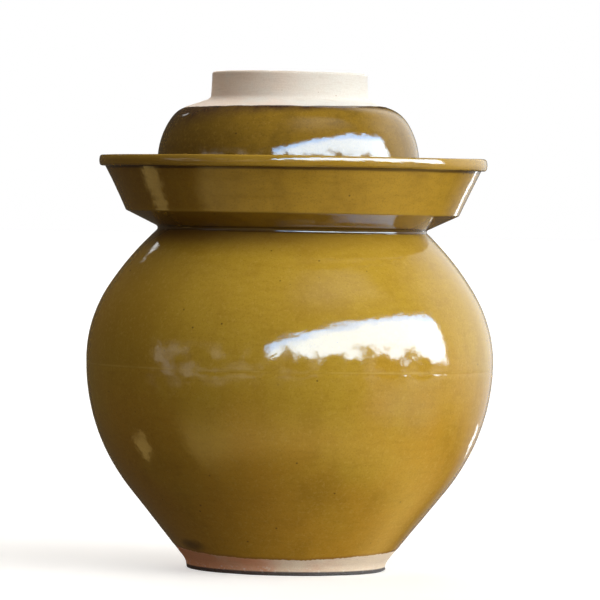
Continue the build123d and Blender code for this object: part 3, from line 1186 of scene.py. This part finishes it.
def window_light(tree, way, azimuth, elevation):
    """A wide window with a pale blue head. Its foot is broken up by soft shapes."""
    off_middle = maths(tree, "RADIANS", maths(tree, "SUBTRACT", azimuth, WINDOW_MIDDLE))
    head = times(tree, maths(tree, "COSINE", off_middle), tan(radians(WINDOW_HEAD)))
    head = maths(tree, "DEGREES", maths(tree, "ARCTANGENT", head))
    below_head = maths(tree, "SUBTRACT", head, elevation)
    shapes = noise_at(tree, way, 7.0, 5.0, 0.6)
    foot = ranged(tree, shapes, 0.35, 0.65, 2.0, 19.0, False)
    foot = maths(tree, "SUBTRACT", foot, ranged(tree, azimuth, 25.0, 95.0, 0.0, 8.0))
    above_foot = maths(tree, "SUBTRACT", elevation, foot)
    foot_edge_share = ranged(tree, above_foot, -1.5, 2.5)
    pane = times(tree, ranged(tree, below_head, -0.6, 0.6), foot_edge_share)
    pane = times(tree, pane, between(tree, azimuth, WINDOW_LEFT, WINDOW_RIGHT, 1.0))
    colour = mixed(tree, ranged(tree, below_head, 3.0, 7.0), (0.30, 0.58, 1.0), (0.66, 0.83, 1.0))
    strength = times(tree, pane, WINDOW_LIGHT)
    return node(tree, "ShaderNodeBackground", {"Color": colour, "Strength": strength}).outputs[0]


def gloss_light(tree, way, azimuth, elevation):
    """What the gloss shows: a dim room, paler behind on the right, with a window and a few reflectors."""
    behind_end = ranged(tree, azimuth, 175.0, 160.0)
    behind = times(tree, ranged(tree, azimuth, 84.0, 116.0), behind_end)
    behind = times(tree, behind, between(tree, elevation, -10.0, 42.0, 14.0))
    front = node(tree, "ShaderNodeSeparateXYZ", {"Vector": way}).outputs["Y"]
    overhead = maths(
        tree, "MULTIPLY", between(tree, elevation, 52.0, 68.0, 16.0), ranged(tree, front, 0.0, -0.15)
    )
    overhead = times(tree, overhead, between(tree, azimuth, 10.0, 90.0, 26.0))
    patches = ranged(tree, noise_at(tree, way, 5.0, 3.0, 0.55), 0.46, 0.66)
    skyline = times(tree, between(tree, elevation, -9.0, 13.0, 5.0), patches)
    skyline = times(tree, skyline, between(tree, azimuth, -84.0, 100.0, 6.0))
    glows = maths(
        tree, "ADD",
        card(tree, azimuth, elevation, *LEFT_GLOW),
        card(tree, azimuth, elevation, *LOW_GLOW),
    )
    wide_table = maths(
        tree,
        "MULTIPLY",
        between(tree, azimuth, -74.0, 158.0, 7.0),
        between(tree, elevation, -50.0, -31.0, 12.0),
    )
    table = maths(
        tree, "ADD",
        card(tree, azimuth, elevation, *TABLE_GLEAM),
        times(tree, wide_table, TABLE_GLOSS),
    )
    return together(
        tree,
        tinted(tree, ROOM_GLOSS, (1.0, 0.80, 0.55)),
        tinted(tree, times(tree, behind, BEHIND_LIGHT), (0.96, 0.97, 0.95)),
        tinted(tree, times(tree, overhead, OVERHEAD_LIGHT), (0.95, 0.98, 1.0)),
        tinted(tree, times(tree, skyline, SKYLINE_LIGHT), (0.98, 0.94, 0.90)),
        tinted(tree, glows, (0.93, 0.97, 1.0)),
        tinted(tree, table, (1.0, 0.70, 0.22)),
        tinted(tree, card(tree, azimuth, elevation, *HAZE), (0.75, 0.95, 1.0)),
        window_light(tree, way, azimuth, elevation),
    )


def make_world():
    """Soft studio light. The camera sees plain white."""
    world = bpy.data.worlds.new("studio")
    bpy.context.scene.world = world
    world.use_nodes = True
    world.cycles.sampling_method = "NONE"
    tree = world.node_tree
    tree.nodes.clear()
    way = node(tree, "ShaderNodeTexCoord").outputs["Generated"]
    parts = node(tree, "ShaderNodeSeparateXYZ", {"Vector": way}).outputs
    front = times(tree, parts["Y"], -1.0)
    azimuth = maths(tree, "DEGREES", maths(tree, "ARCTAN2", parts["X"], front))
    elevation = maths(tree, "DEGREES", maths(tree, "ARCSINE", parts["Z"]))
    path = node(tree, "ShaderNodeLightPath").outputs
    seen = node(
        tree,
        "ShaderNodeMixShader",
        {0: path["Is Glossy Ray"], 1: matt_light(tree, way, parts["Z"]),
         2: gloss_light(tree, way, azimuth, elevation)},
    )
    white = tinted(tree, 1.0, (1, 1, 1))
    seen = node(tree, "ShaderNodeMixShader", {0: path["Is Camera Ray"], 1: seen.outputs[0], 2: white})
    node(tree, "ShaderNodeOutputWorld", {"Surface": seen.outputs[0]})


def make_camera():
    """Eye a little above the shoulder, 2.65 m away, looking slightly down, and not quite level."""
    camera = bpy.data.cameras.new("camera")
    camera.sensor_width = 36.0
    camera.lens = CAMERA_LENS
    camera.clip_end = 100.0
    seat = bpy.data.objects.new("camera", camera)
    seat.location = CAMERA_PLACE
    aim = Euler((radians(90 - CAMERA_DIP), 0, 0)).to_matrix()
    roll = Euler((0, 0, radians(CAMERA_ROLL))).to_matrix()
    seat.rotation_euler = (aim @ roll).to_euler()
    bpy.context.scene.collection.objects.link(seat)
    bpy.context.scene.camera = seat


make_floor()
make_world()
make_camera()
bpy.context.scene.view_settings.view_transform = "Standard"
